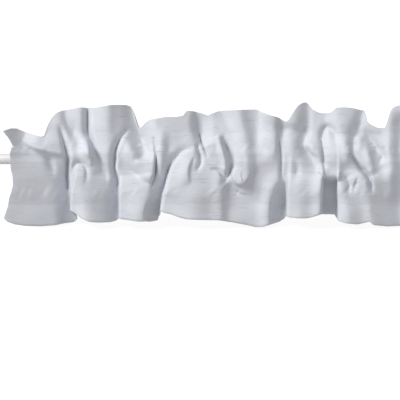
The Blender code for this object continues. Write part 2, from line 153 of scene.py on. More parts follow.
# How much each part of the weave raises the surface, and how much it lightens the cloth
WEAVE_RISE = 0.25
YARN_RISE = 0.5
WEAVE_TONE = 0.10
YARN_TONE = 0.30
SLUB_TONE = -0.32
PATCH_TONE = 0.24
TONE_RANGE = (0.0, 0.42)

# Stitching
STITCH_LENGTH = 2.6
STITCH_GAP = 0.7
STITCH_RINGS = 5
STITCH_AHEAD = 0.5
STITCH_END = 0.45
STITCH_BOW = 1.1
STITCH_SINK = 0.5
THREAD_RADIUS = 0.17
THREAD_SIDES = 6
THREAD_SHADE = (0.55, 0.57, 0.62, 1.0)
THREAD_LIGHT = (0.70, 0.72, 0.77, 1.0)
THREAD_BUMP = (0.5, 0.0001)
THREAD_ROUGHNESS = 0.6

# Rod
ROD_SIDES = 96
ROD_EDGE = 0.8
ROD_EDGE_CORNER = 0.3
ROD_RINGS = (0.25, 0.5, 0.75)
ENAMEL_SHADE = (0.66, 0.65, 0.645, 1.0)
ENAMEL_LIGHT = (0.72, 0.71, 0.70, 1.0)
ENAMEL_BUMP = (0.15, 0.0002)
ENAMEL_ROUGHNESS = (0.28, 0.2)
PEEL_SCALE = (700.0, 700.0, 700.0)
MARKS_SCALE = (30.0, 160.0, 160.0)
MARKS_RANGE = (0.3, 0.6)

# Stage: the frame is 400 pixels of 1.75 mm, with the rod's left end 9 pixels outside it
FRAME_WIDTH = 700.0
FRAME_MIDDLE = (365.75, -72.1)
SENSOR = 36.0
CAMERA_DISTANCE = 6.0
FLOOR_SIZE = 12.0
FLOOR_DROP = 1.5
FLOOR_GRAIN = (40.0, 40.0, 40.0)
FLOOR_ROUGHNESS = (0.8, 0.1)
FLOOR_COLOUR = (0.22, 0.22, 0.22, 1.0)
# Painted light: the floor glows, weaker near the valance and stronger away from it
FLOOR_GLOW = (0.86, 0.95)
FLOOR_GLOW_REACH = (0.05, 0.7)
SKY_STRENGTH = 0.5
KEY_DIRECTION = (-0.64, -0.49, 0.59)
KEY_DISTANCE = 6.0
KEY_SIZE = 2.4
KEY_POWER = 304.0

# Left and right edges: height seen, and how far the edge stands out past the pocket.
LEFT_EDGE = (
    (-118, 12.5), (-104, 12.2), (-84, 5.2), (-69, 2.6), (-58, -1), (-46, -4.4), (-28, -3.5),
    (-20, -0.9), (10, 0.3), (15, -1), (20, -6), (35, 1.7), (48, 11.4), (55, 8),
)
RIGHT_EDGE = (
    (-118, 9), (-84, 5), (-58, 0), (-28, -3), (10, 0), (20, -4), (48, 6), (70, 9),
)

# Hem: distance along the valance and height seen.
HEM = (
    (22, -103), (30, -110.6), (42, -115), (60, -117.6), (86, -118.1), (112, -116.4), (133, -111.5),
    (137, -106.5), (140, -97.7), (144, -90.8), (152, -94.9), (164, -104.5), (177, -110.6),
    (191, -112), (212, -111.3), (220, -108.9), (226, -104.8), (238, -106.2), (261, -109.7),
    (282, -110.1), (294, -108), (298, -100.1), (303, -91.4), (310, -94.9), (322, -97.5),
    (334, -102.7), (348, -106.2), (366, -107.1), (402, -108), (427, -111.5), (453, -116.7),
    (467, -120.2), (478, -119.7), (492, -115), (506, -110.6), (514, -105.4), (518, -101),
    (527, -102.7), (541, -104.1), (555, -104.1), (567, -101.5), (578, -97.5), (593, -97),
    (604, -97.5), (608, -103.6), (614, -108.9), (628, -113.2), (646, -115), (658, -112.2),
    (667, -109.7), (674, -115.9), (698, -118.5), (716, -117.6), (742, -117.6), (768, -112),
    (794, -101),
)

# Top edge of the heading: distance along the valance and height seen.
TOP_EDGE = (
    (23, 48), (33, 52.7), (44, 53), (52, 50.4), (63, 45.5), (74, 43), (89, 40.4), (94, 41.7),
    (96.5, 48.7), (100.5, 60.9), (107, 72.3), (115.5, 81), (124, 84.5), (142, 87.2), (157, 90.1),
    (170, 89.8), (180, 88.6), (196, 91.5), (212, 94.2), (236, 94.2), (245, 91.5), (249.5, 84.5),
    (252, 76.7), (255.5, 64.4), (259, 55.7), (263.5, 55.7), (271, 63), (278, 67.9), (292, 70.5),
    (308, 73.5), (325.5, 73.5), (336, 75.8), (341, 82.8), (345, 84), (357, 83), (367.5, 81),
    (380.5, 76.3), (388.5, 80.2), (397, 83.1), (408, 84.5), (436, 85.4), (464, 86.6), (469, 84.9),
    (476, 81), (488, 76.7), (502, 72.3), (511, 67.9), (516, 65.3), (520.5, 67.9), (525, 74.9),
    (530, 83.7), (537, 93.3), (544, 98), (549.5, 99.4), (555, 97.1), (562, 88.4), (570.5, 82.3),
    (579, 80.2), (593, 80.5), (600, 84.5), (604, 89.3), (618, 89.8), (632, 88.9), (646, 85.8),
    (653.5, 84.5), (656, 78), (658, 68), (663, 60.9), (670, 57.4), (677, 54.3), (689.5, 54.1),
    (692.5, 62.7), (695, 71.4), (698, 81.9), (702, 88), (707, 91.2), (716, 93.6), (730, 94),
    (746, 88), (762, 76), (778, 66), (794, 62),
)

# Depth of the even sheet in front of the rod's axis, by height seen.
EVEN_DEPTH = (
    (-120, 15), (-80, 13), (-58, 16.5), (-35, 22), (-5, 26), (10, 24), (22, 19.5), (45, 13),
    (95, 6),
)

# Folds, one row each. Ridges have positive heights and valleys negative ones.
# left, right: how far the fold spreads on each side of its line, going along it.
# lean, where given: how far its crest leans over towards the line's left side.
# top, where given: how far the crest stays level to the right of the line.
# line: distance along the valance, height seen and height of the fold, at points along it.
FOLDS = (
    dict(name="first_lobe", left=60, right=82, line=(
        (4, -128, 36), (4, -72, 34), (6, -28, 27), (8, 7, 20))),
    dict(name="first_valley", left=15, right=6, line=(
        (135, -125, -18), (135, -81, -18), (133, -55, -17), (132, -28, -10),
        (131, -10, -4), (131, 4, 0))),
    dict(name="second_lobe", left=5, right=70, top=22, lean=6, line=(
        (143, -125, 26), (145, -93, 25), (149, -60, 22), (152, -35, 15), (154, 0, 0))),
    dict(name="second_valley", left=14, right=4, line=(
        (225, -125, -17), (225, -72, -17), (225, -48, -14), (224, -36, -5))),
    dict(name="third_lobe", left=5, right=50, top=35, lean=4, line=(
        (233, -125, 15), (233, -72, 14), (232, -48, 11), (230, -30, 0))),
    dict(name="third_shoulder", left=34, right=4, line=(
        (271, -125, 19), (272, -86, 19), (279, -69, 14), (284, -55, 5), (287, -44, 1))),
    dict(name="third_valley", left=18, right=5, line=(
        (295, -125, -13), (297, -92, -14), (302, -72, -14), (306, -56, -9),
        (308, -44, -3))),
    dict(name="third_throat", left=8, right=4, line=(
        (303, -62, -4), (309, -42, -12), (311, -28, -13), (314, -14, -13), (323, 1, -10),
        (335, 12, -7), (347, 18, -2))),
    dict(name="fourth_lobe", left=6, right=80, top=98, lean=5, line=(
        (303, -125, 15), (307, -80, 15), (314, -45, 14), (319, -15, 6), (322, 2, 0))),
    dict(name="fourth_crown", left=42, right=38, line=(
        (357, -125, 19), (357, -80, 18), (355, -58, 15), (352, -40, 11), (350, -22, 8),
        (350, -4, 6), (353, 8, 2))),
    dict(name="middle_ridge", left=15, right=8, line=(
        (407, -125, 6), (407, -81, 6), (407, -46, 6), (405, -27, 3))),
    dict(name="middle_trough", left=14, right=30, line=(
        (424, -125, -1), (424, -81, -3), (424, -55, -8), (428, -48, -4))),
    dict(name="full_ridge", left=15, right=5, line=(
        (487, -125, 11), (488, -82, 11), (493, -60, 10), (499, -45, 8), (505, -33, 5),
        (508, -22, 2))),
    dict(name="fourth_valley", left=18, right=4, line=(
        (517, -125, -17), (517, -81, -17), (518, -62, -13), (517, -48, -8),
        (514, -37, -3))),
    dict(name="fourth_crease", left=4, right=3, line=(
        (508, -40, 0), (508, -28, -6), (508, -7, -8), (507, 12, -6), (504, 26, -4),
        (502, 40, -1))),
    dict(name="fifth_lobe", left=5, right=50, top=35, lean=3, line=(
        (525, -125, 20), (524, -93, 20), (525, -50, 18), (526, -25, 6))),
    dict(name="fifth_edge", left=14, right=3, line=(
        (579, -125, 12), (580, -81, 12), (581, -46, 12), (580, -27, 6))),
    dict(name="fifth_crown", left=22, right=22, line=(
        (546, -125, 9), (546, -81, 9), (543, -45, 6))),
    dict(name="recess", left=4, right=9, top=16, line=(
        (586, -125, -22), (586, -81, -22), (586, -40, -22))),
    dict(name="sixth_lobe", left=4, right=80, top=36, lean=5, line=(
        (615, -125, 9), (614, -81, 9), (614, -55, 10), (613, -38, 10), (612, -20, 4))),
    dict(name="sixth_flank", left=21, right=34, line=(
        (634, -125, 19), (631, -81, 18), (624, -50, 10), (618, -36, 4))),
    dict(name="sixth_trough", left=12, right=14, line=(
        (650, -125, -1), (641, -81, -2), (633, -55, -5), (626, -40, -7), (622, -20, -5))),
    dict(name="seventh_ridge", left=13, right=30, line=(
        (674, -125, 10), (670, -88, 10), (664, -46, 7), (660, -34, 3))),
    dict(name="slanting_valley", left=5, right=3, line=(
        (671, -55, -3), (670, -44, -9), (666, -32, -12), (659, -24, -13), (650, -16, -13),
        (643, -7, -12), (633, 4, -5))),
    dict(name="eighth_ridge", left=10, right=16, line=(
        (705, -50, 4), (702, -20, 8), (698, 5, 8), (697, 33, 8), (700, 77, 8))),
    dict(name="eighth_trough", left=14, right=14, line=(
        (724, -125, -6), (722, -81, -6), (719, -37, -6), (717, 15, -6), (716, 59, -5))),
    dict(name="last_lobe", left=24, right=40, line=(
        (758, -128, 22), (754, -63, 16), (751, -2, 10), (751, 68, 10))),
    dict(name="heading_tip", left=24, right=24, line=(
        (24, 20, 12), (22, 36, 25), (19, 56, 30), (19, 70, 30))),
    dict(name="heading_crest", left=7, right=44, top=16, lean=2, line=(
        (133, 8, 5), (119, 12, 11), (104, 16, 14), (90, 20, 14), (77, 24, 13), (66, 29, 8),
        (56, 34, 2))),
    dict(name="heading_dent", left=8, right=18, line=(
        (153, 33, -4), (143, 46, -8), (134, 64, -8), (130, 85, -6))),
    dict(name="heading_valley_1", left=7, right=6, line=(
        (181, 16, 0), (177, 26, -8), (172, 38, -15), (169, 50, -18), (169, 71, -18),
        (169, 86, -15), (169, 98, -7))),
    dict(name="pocket_ridge_1", left=14, right=5, line=(
        (182, -12, 4), (178, -2, 9), (171, 12, 12), (167, 26, 5))),
    dict(name="heading_ridge_1", left=24, right=14, line=(
        (206, -11, 5), (205, 15, 6), (203, 50, 9), (203, 96, 9))),
    dict(name="heading_valley_2", left=18, right=18, line=(
        (280, 8, -5), (273, 20, -14), (265, 36, -18), (255, 52, -19), (249, 70, -18),
        (247, 96, -17))),
    dict(name="pocket_ridge_2", left=14, right=8, line=(
        (258, -4, 5), (250, 8, 8), (240, 22, 7), (230, 34, 3))),
    dict(name="third_pillow", left=30, right=3, line=(
        (282, -44, 4), (284, -30, 14), (285, -16, 14), (286, 0, 10), (286, 12, 3))),
    dict(name="heading_ridge_2", left=9, right=16, line=(
        (274, 6, 4), (276, 33, 7), (276, 64, 6))),
    dict(name="pocket_ridge_3", left=9, right=9, line=(
        (297, -20, 6), (297, 15, 10), (299, 42, 4))),
    dict(name="heading_valley_3", left=9, right=26, line=(
        (372, 20, -2), (368, 30, -10), (365, 42, -17), (362, 54, -19), (361, 68, -16),
        (361, 82, -9), (361, 96, -4))),
    dict(name="valley_3_crease", left=3, right=2, line=(
        (379, 6, -2), (374, 16, -8), (369, 28, -9), (365, 42, -5))),
    dict(name="valley_3_branch", left=4, right=4, line=(
        (363, -19, -3), (366, -7, -8), (365, 7, -9), (361, 22, -5))),
    dict(name="heading_ridge_3", left=13, right=10, line=(
        (387, 25, 3), (387, 50, 5), (383, 89, 4))),
    dict(name="heading_slope_3", left=14, right=40, line=(
        (291, 22, 3), (291, 42, 9), (293, 72, 7))),
    dict(name="pocket_valley", left=7, right=4, line=(
        (408, -44, -3), (414, -35, -8), (420, -23, -12), (423, -7, -14), (420, 7, -14),
        (414, 21, -12), (408, 36, -5))),
    dict(name="pocket_valley_lip", left=5, right=3, line=(
        (411, -18, 4), (409, -2, 7), (404, 15, 8), (398, 36, 4))),
    dict(name="heading_ridge_4", left=20, right=12, line=(
        (446, -34, 4), (447, -18, 9), (446, 0, 10), (446, 15, 10), (444, 38, 9),
        (440, 50, 9), (436, 64, 9), (432, 94, 8))),
    dict(name="heading_trough_4", left=16, right=5, line=(
        (477, 15, -3), (470, 30, -6), (469, 60, -6), (469, 94, -5))),
    dict(name="pocket_tongue", left=32, right=3, line=(
        (424, -12, 2), (425, -26, 7), (430, -38, 11), (438, -44, 13), (445, -43, 12),
        (450, -35, 9), (454, -20, 4), (457, -4, 1))),
    dict(name="heading_ridge_5", left=22, right=9, line=(
        (493, 12, 7), (495, 24, 10), (496, 45, 11), (494, 89, 7))),
    dict(name="heading_ridge_6", left=14, right=20, line=(
        (523, 4, 2), (525, 20, 4), (527, 47, 4), (532, 75, 3))),
    dict(name="horn_valley", left=15, right=6, line=(
        (574, -3, -4), (562, 6, -10), (553, 16, -13), (548, 27, -11), (550, 42, -6),
        (553, 59, -2), (556, 77, 0), (556, 100, 0))),
    dict(name="fan_valley", left=15, right=5, line=(
        (572, -22, -3), (570, -12, -8), (564, -2, -8), (557, 9, -4))),
    dict(name="notch_shade", left=9, right=12, line=(
        (494, 60, -2), (508, 55, -6), (525, 51, -8), (545, 48, -7))),
    dict(name="horn_step", left=15, right=18, top=26, line=(
        (554, 22, 0), (554, 40, -8), (555, 60, -11), (556, 80, -11), (556, 104, -10))),
    dict(name="horn_ridge", left=5, right=14, line=(
        (576, 3, 3), (563, 13, 5), (553, 24, 4), (552, 34, 0))),
    dict(name="horn_slope", left=5, right=30, line=(
        (562, 30, 0), (564, 50, 2), (566, 90, 2))),
    dict(name="hook", left=6, right=8, line=(
        (583, -11, -3), (581, 15, -5), (579, 34, -8), (582, 50, -8), (590, 56, -8),
        (598, 51, -10), (603, 40, -9), (604, 28, -3))),
    dict(name="heading_ridge_7", left=14, right=22, line=(
        (604, 10, 5), (604, 42, 5), (604, 91, 4))),
    dict(name="pocket_ridge_7", left=9, right=9, line=(
        (624, 4, 4), (625, 13, 9), (621, 28, 6))),
    dict(name="heading_valley_8", left=12, right=9, line=(
        (634, 15, -8), (636, 33, -10), (640, 49, -9), (646, 64, -8), (653, 89, -7))),
    dict(name="heading_ridge_8", left=6, right=8, line=(
        (640, 16, 4), (643, 33, 5), (647, 42, 0))),
    dict(name="heading_valley_9", left=16, right=8, line=(
        (691, -8, -3), (686, 2, -10), (680, 12, -14), (672, 24, -15), (664, 35, -14),
        (656, 46, -10), (650, 56, -4))),
    dict(name="pocket_ridge_9", left=8, right=8, line=(
        (667, -16, 6), (661, 7, 8), (656, 22, 4))),
    dict(name="pocket_overhang", left=12, right=3, line=(
        (577, -22, 7), (584, -30, 11), (593, -34, 12), (606, -35, 12))),
)

# Smaller folds and creases, in the same form.
FINE_FOLDS = (
    dict(name="first_crease", left=4, right=5, line=(
        (133, -50, -6), (132, -31, -12), (133, -16, -14), (134, -2, -14), (132, 10, -12),
        (129, 22, -11), (127, 33, -10), (124, 44, -7), (121, 56, -2))),
    dict(name="first_crease_ridge", left=4, right=9, line=(
        (139, -14, 1), (143, 0, 4), (143, 14, 4), (140, 28, 3), (134, 40, 1))),
    dict(name="second_lobe_nose", left=18, right=24, line=(
        (175, -125, 9), (173, -88, 9), (165, -58, 8), (158, -28, 8), (157, -8, 4))),
    dict(name="second_arch", left=3, right=5, line=(
        (170, -42, -1), (170, -24, -4), (165, -12, -6), (156, -7, -7), (148, -11, -6),
        (143, -24, -5), (142, -42, -1))),
    dict(name="second_hollow", left=22, right=7, line=(
        (203, -42, -4), (202, -26, -7), (199, -14, -4), (196, -4, 0))),
    dict(name="second_ridge", left=12, right=3, line=(
        (175, -6, 3), (173, 8, 8), (170, 20, 10), (168, 29, 4))),
    dict(name="valley_1_tail", left=4, right=4, line=(
        (198, -22, -2), (193, -8, -7), (187, 6, -9), (180, 20, -8), (174, 34, -3))),
    dict(name="valley_2_throat", left=7, right=3, line=(
        (225, -42, -7), (222, -32, -13), (217, -16, -15), (217, -2, -14), (219, 15, -13),
        (226, 33, -11), (238, 50, -3))),
    dict(name="third_lobe_hollow", left=11, right=6, line=(
        (285, -46, -2), (268, -37, -6), (250, -24, -7), (234, -10, -5), (226, 0, -2))),
    dict(name="valley_2_fork", left=15, right=5, line=(
        (276, 8, -3), (272, 18, -8), (264, 36, -7), (257, 50, -3))),
    dict(name="short_crease", left=8, right=4, line=(
        (256, 0, -4), (264, 2, -9), (275, 6, -10), (282, 9, -5))),
    dict(name="upright_crease", left=3, right=2, line=(
        (284, -50, -2), (286, -37, -6), (288, -19, -8), (289, -2, -8), (288, 14, -8),
        (286, 36, -3))),
    dict(name="first_lobe_crease", left=8, right=6, line=(
        (109, -26, -2), (107, -14, -7), (103, -3, -8), (98, 7, -4))),
    dict(name="first_tuck", left=6, right=4, lean=-12, line=(
        (137, -128, -5), (137, -104, -5), (137, -92, -3), (137, -80, 0))),
    dict(name="fourth_brow", left=14, right=3, line=(
        (352, -46, 0), (348, -34, 4), (346, -20, 6), (348, -6, 5), (353, 6, 1))),
    dict(name="hooked_crease", left=4, right=3, line=(
        (390, -19, -3), (397, -20, -6), (404, -24, -7), (407, -31, -4))),
    dict(name="heading_soft_dip", left=8, right=10, line=(
        (424, 46, -2), (413, 64, -4), (404, 82, -3))),
    dict(name="heading_pocket_dip", left=10, right=7, line=(
        (508, 42, -4), (506, 55, -4), (503, 68, -2))),
    dict(name="hook_tail", left=3, right=3, line=(
        (585, -16, -3), (583, -7, -5), (581, 12, -5), (579, 28, -3))),
    dict(name="heading_tuck", left=6, right=6, line=(
        (534, -36, -2), (537, -20, -4), (534, -6, -2))),
    dict(name="sixth_dimple", left=5, right=4, line=(
        (630, -56, -3), (633, -46, -6), (628, -34, -3))),
    dict(name="seventh_dimple", left=3, right=4, line=(
        (640, -54, -2), (643, -44, -4), (646, -35, -2))),
    dict(name="end_nick", left=4, right=5, line=(
        (683, -3, -3), (688, 5, -5), (687, 17, -3))),
)


def smooth_path(points):
    """Points read off a smooth curve through a fold's own points."""
    corners = np.array(points, dtype=float)
    padded = np.vstack([2 * corners[0] - corners[1], corners, 2 * corners[-1] - corners[-2]])
    path = []
    for index in range(len(corners) - 1):
        before, start, end, after = padded[index:index + 4]
        for step in range(PATH_STEPS):
            t = step / PATH_STEPS
            path.append(0.5 * (2 * start + (end - before) * t
                               + (2 * before - 5 * start + 4 * end - after) * t ** 2
                               + (3 * start - before - 3 * end + after) * t ** 3))
    path.append(corners[-1])
    return np.array(path)


def nearest_on_path(x, height, path):
    """Signed distance from a path (left of it is negative), the distance past its ends,
    the fold's height there and the direction of the path's left side."""
    best = np.full(x.shape, np.inf)
    signed = np.zeros(x.shape)
    past_end = np.zeros(x.shape)
    fold_height = np.zeros(x.shape)
    left_x = np.zeros(x.shape)
    left_z = np.zeros(x.shape)
    for index, (start, end) in enumerate(zip(path[:-1], path[1:])):
        run = end[:2] - start[:2]
        length = math.hypot(*run)
        reach = ((x - start[0]) * run[0] + (height - start[1]) * run[1]) / length ** 2
        along = np.clip(reach, 0.0, 1.0)
        lowest = -np.inf if index == 0 else 0.0
        highest = np.inf if index == len(path) - 2 else 1.0
        past = np.abs(np.clip(reach, lowest, highest) - along) * length
        off_x = x - (start[0] + along * run[0])
        off_z = height - (start[1] + along * run[1])
        distance = np.hypot(off_x, off_z)
        side = np.where(run[0] * off_z - run[1] * off_x > 0.0, -1.0, 1.0)
        nearer = distance < best
        best = np.where(nearer, distance, best)
        beside = np.sqrt(np.maximum(distance ** 2 - past ** 2, 0.0))
        signed = np.where(nearer, side * beside, signed)
        past_end = np.where(nearer, past, past_end)
        fold_height = np.where(nearer, start[2] + along * (end[2] - start[2]), fold_height)
        left_x = np.where(nearer, -run[1] / length, left_x)
        left_z = np.where(nearer, run[0] / length, left_z)
    return signed, past_end, fold_height, left_x, left_z


def raise_folds(x, height, depth):
    """Add every fold to an even sheet: returns the moved x, height and depth."""
    shift_x = np.zeros(x.shape)
    shift_z = np.zeros(x.shape)
    depth = depth.copy()
    for fold in FOLDS + FINE_FOLDS:
        path = smooth_path(fold["line"])
        reach = FOLD_REACH * max(fold["left"], fold["right"]) + fold.get("top", 0)
        near = ((x > path[:, 0].min() - reach) & (x < path[:, 0].max() + reach)
                & (height > path[:, 1].min() - reach) & (height < path[:, 1].max() + reach))
        if not near.any():
            continue
        signed, past_end, fold_height, left_x, left_z = nearest_on_path(
            x[near], height[near], path)
        spread = np.where(signed < 0.0, float(fold["left"]), float(fold["right"]))
        beyond = np.where(signed < 0.0, -signed, np.maximum(signed - fold.get("top", 0), 0.0))
        end_spread = (fold["left"] + fold["right"]) / 2
        profile = np.exp(-(beyond / spread) ** 2 - (past_end / end_spread) ** 2)
        depth[near] += fold_height * profile
        if "lean" in fold:
            tallest = max(abs(point[2]) for point in fold["line"])
            lean = fold["lean"] * profile * np.abs(fold_height) / tallest
            shift_x[near] += lean * left_x
            shift_z[near] += lean * left_z
    return x + shift_x, height + shift_z, depth


def read_table(table, at):
    """Read a two-column table between its rows."""
    columns = np.array(table, dtype=float)
    return np.interp(at, columns[:, 0], columns[:, 1])


def soft_max(a, b, rounding):
    """The larger of two values, with a rounded change-over."""
    return 0.5 * (a + b + np.sqrt((a - b) ** 2 + rounding ** 2))


def rod_clearance(z):
    """Least distance of a layer's middle from the plane through the rod's axis:
    round the rod's side, then straight on at 45 degrees above and below it."""
    clear = ROD_RADIUS + ROD_GAP + SHEET_THICKNESS / 2
    bend = clear / math.sqrt(2.0)
    around = np.sqrt(np.maximum(clear ** 2 - z ** 2, 0.0))
    return np.where(np.abs(z) < bend, around, 2.0 * bend - np.abs(z))


def height_seen(z, depth):
    """Height on a plane square to the line of sight."""
    return z * math.cos(SIGHT_TILT) - depth * math.sin(SIGHT_TILT)


def true_height(seen, depth):
    """Height above the rod's axis of a point seen at a given height."""
    return (seen + depth * math.sin(SIGHT_TILT)) / math.cos(SIGHT_TILT)


def ends_moved(along, height):
    """Shift both ends of a row so that they follow the valance's edges."""
    from_left = np.clip((along - CLOTH_START) / END_FADE, 0.0, 1.0)
    from_right = np.clip((CLOTH_END - along) / END_FADE, 0.0, 1.0)
    fade_left = 0.5 + 0.5 * np.cos(math.pi * from_left)
    fade_right = 0.5 + 0.5 * np.cos(math.pi * from_right)
    return (along - read_table(LEFT_EDGE, height) * fade_left
            + read_table(RIGHT_EDGE, height) * fade_right)


def sampled_row(zone, place, along):
    """One row of the front layer's middle surface, as x, y and z."""
    low_seen = height_seen(POCKET_BOTTOM, TYPICAL_DEPTH)
    high_seen = height_seen(POCKET_TOP, TYPICAL_DEPTH)
    if zone == "pocket":
        seen = np.full(along.shape, height_seen(place, TYPICAL_DEPTH))
    elif zone == "skirt":
        edge = read_table(HEM, ends_moved(along, np.full(along.shape, HEM[0][1])))
        seen = low_seen + place * (edge - low_seen)
    else:
        edge = read_table(TOP_EDGE, ends_moved(along, np.full(along.shape, TOP_EDGE[0][1])))
        seen = high_seen + place * (edge - high_seen)
    x, moved, depth = raise_folds(ends_moved(along, seen), seen, read_table(EVEN_DEPTH, seen))
    depth = soft_max(depth, rod_clearance(true_height(moved, depth)), FRONT_ROUNDING)
    z = true_height(moved, depth)
    if zone == "heading":
        z = np.maximum(z, POCKET_TOP + place * LEAST_HEADING_RISE)
    return x, -depth, z


def spread_columns(rows):
    """Choose columns evenly along the cloth's own width, closer together in bends."""
    even_step = (CLOTH_END - CLOTH_START) / (SAMPLES - 1)
    stretch = []
    heights = []
    for x, y, z in rows:
        step_x = np.diff(x)
        step_y = np.diff(y)
        step = np.hypot(step_x, step_y)
        turn = np.abs(np.diff(np.unwrap(np.arctan2(step_y, step_x)), prepend=0.0))
        turn[0] = 0.0
        turn = np.minimum(turn, SHARPEST_TURN)
        stretch.append(np.clip(step / even_step, LEAST_STRETCH, MOST_STRETCH) + BEND_WEIGHT * turn)
        heights.append(z.mean())
    stretch = np.array(stretch)
    heights = np.array(heights)
    picked = []
    for row, (x, y, z) in enumerate(rows):
        weight = np.exp(-((heights - heights[row]) / ROW_BLEND) ** 2)
        density = (stretch * weight[:, None]).sum(axis=0) / weight.sum()
        total = np.concatenate([[0.0], np.cumsum(density)])
        wanted = np.linspace(0.0, total[-1], COLUMNS + 1)
        at = np.interp(wanted, total, np.arange(SAMPLES))
        picked.append([np.interp(at, np.arange(SAMPLES), values) for values in (x, y, z)])
    return np.array(picked).transpose(0, 2, 1)


def gathers(place, count):
    """How far the pocket's back layer stands out in its gathers, along one row."""
    across = np.linspace(0.0, FLAT_WIDTH, count)
    drift = np.array([noise.noise(Vector((x, place, 0.0)) / GATHER_DRIFT) for x in across])
    size = np.array([noise.noise(Vector((x, place, GATHER_DRIFT)) / GATHER_DRIFT) for x in across])
    fold = np.sin(2.0 * math.pi * across / GATHER_LENGTH + GATHER_BEND * drift)
    return GATHER_HEIGHT * (0.5 + 0.5 * fold) * (1.0 + size)


def back_layer(front, pocket_rows, coarse_rows):
    """The pocket's back layer: it leaves the front at both seams and passes behind the rod."""
    back = front.copy()
    for row, (zone, place) in enumerate(pocket_rows):
        z = back[row, :, 2]
        from_seam = min(place - POCKET_BOTTOM, POCKET_TOP - place)
        if from_seam <= 0.0:
            continue
        apart = 1.0 - math.exp(-from_seam / POCKET_PARTING)
        own = BACK_LAYER_DEPTH + gathers(place, back.shape[1])
        own = (1.0 - apart) * back[row, :, 1] + apart * own
        least = back[row, :, 1] + SHEET_THICKNESS + apart * POCKET_OPENING
        own = soft_max(own, least, BACK_ROUNDING)
        back[row, :, 1] = soft_max(own, rod_clearance(z), BACK_ROUNDING)
    return back[coarse_rows]


def surface_normals(points):
    """Unit normals of a grid of points, towards the viewer on an even sheet."""
    up = np.gradient(points, axis=0)
    across = np.gradient(points, axis=1)
    normals = np.cross(across, up)
    return normals / np.linalg.norm(normals, axis=2, keepdims=True)


def cloth_rows():
    """Every row of the front face, from the hem up: its zone and where it lies in that zone."""
    rows = [("skirt", 1.0 - row / SKIRT_ROWS) for row in range(SKIRT_ROWS)]
    rows += [("pocket", POCKET_BOTTOM + (POCKET_TOP - POCKET_BOTTOM) * row / (POCKET_ROWS - 1))
             for row in range(POCKET_ROWS - 1)]
    rows.append(("pocket", POCKET_TOP))
    rows += [("heading", (row + 1) / HEADING_ROWS) for row in range(HEADING_ROWS)]
    return rows


def flat_heights(rows):
    """Height of each row on the flat panel, measured from the hem."""
    heights = []
    for zone, place in rows:
        if zone == "skirt":
            heights.append(SKIRT_LENGTH * (1.0 - place))
        elif zone == "pocket":
            share = (place - POCKET_BOTTOM) / (POCKET_TOP - POCKET_BOTTOM)
            heights.append(SKIRT_LENGTH + POCKET_LENGTH * share)
        else:
            heights.append(SKIRT_LENGTH + POCKET_LENGTH + HEADING_LENGTH * place)
    return np.array(heights)


def ripple(points, flat_z):
    """Small unevenness of the cloth: long soft waves, and puckers along both seams."""
    rows, columns = points.shape[:2]
    across = np.linspace(0.0, FLAT_WIDTH, columns)
    for row in range(rows):
        seam = min(abs(flat_z[row] - SKIRT_LENGTH),
                   abs(flat_z[row] - SKIRT_LENGTH - POCKET_LENGTH))
        near_seam = math.exp(-(seam / PUCKER_REACH) ** 2)
        groove = SEAM_GROOVE * math.exp(-(seam / SEAM_GROOVE_WIDTH) ** 2)
        groove += HEM_ROLL * math.exp(-(flat_z[row] / HEM_ROLL_REACH) ** 2)
        for column in range(columns):
            at = Vector((across[column], flat_z[row], 0.0))
            wave = noise.noise(at / WAVE_LENGTH) * WAVE_HEIGHT
            crease = noise.noise(Vector((at.x / PUCKER_LENGTH,
                                         at.y / (PUCKER_STRETCH * PUCKER_LENGTH), PUCKER_SEED)))
            points[row, column, 1] += wave + crease * PUCKER_HEIGHT * near_seam + groove
    return points


def build_cloth():
    """The whole cloth as one closed sheet with the rod pocket through it."""
    along = np.linspace(CLOTH_START, CLOTH_END, SAMPLES)
    rows = cloth_rows()
    flat_z = flat_heights(rows)
    front = spread_columns([sampled_row(zone, place, along) for zone, place in rows])
    front = ripple(front, flat_z)
    first = SKIRT_ROWS
    last = first + POCKET_ROWS - 1
    clear = rod_clearance(front[first:last, :, 2])
    front[first:last, :, 1] = -np.maximum(-front[first:last, :, 1], clear)
    normals = surface_normals(front)
    coarse = list(range(0, len(rows), COARSE_STEP))
    pocket = [row for row in coarse if first <= row <= last]
    back = back_layer(front[first:last + 1], rows[first:last + 1], [row - first for row in pocket])
    back_normals = surface_normals(back)

    half = SHEET_THICKNESS / 2
    above = np.clip((flat_z - flat_z[last]) / SEAM_EASE + 1.0, 0.0, 1.0)
    beside = np.clip(1.0 - np.abs(flat_z - flat_z[first]) / SEAM_EASE, 0.0, 1.0)
    front_reach = half * (1.0 + np.maximum(above, beside))
    reach = np.full(len(rows), half)
    reach[last:] = SHEET_THICKNESS
    hem = np.exp(-(flat_z / HEM_DEPTH) ** 4) * HEM_THICKENING
    outer_front = front + normals * front_reach[:, None, None]
    outer_back = front - normals * (reach + hem)[:, None, None]
    for place, row in enumerate(pocket):
        if row in (first, last):
            outward = normals[row] + back_normals[place]
            outward /= np.linalg.norm(outward, axis=1, keepdims=True)
            outer_back[row] = front[row] - outward * SHEET_THICKNESS
        else:
            outer_back[row] = back[place] - back_normals[place] * half
    inner_front = (front - normals * half)[pocket]
    inner_back = back + back_normals * half
    inner_front[0] = front[first]
    inner_back[-1] = front[last]
    rings = {"front": outer_front, "back": outer_back[coarse],
             "inner_front": inner_front[:-1], "inner_back": inner_back[1:]}
    flats = {"front": flat_z, "back": flat_z[coarse],
             "inner_front": flat_z[pocket][:-1], "inner_back": flat_z[pocket][1:]}
    return rings, flats, first, last


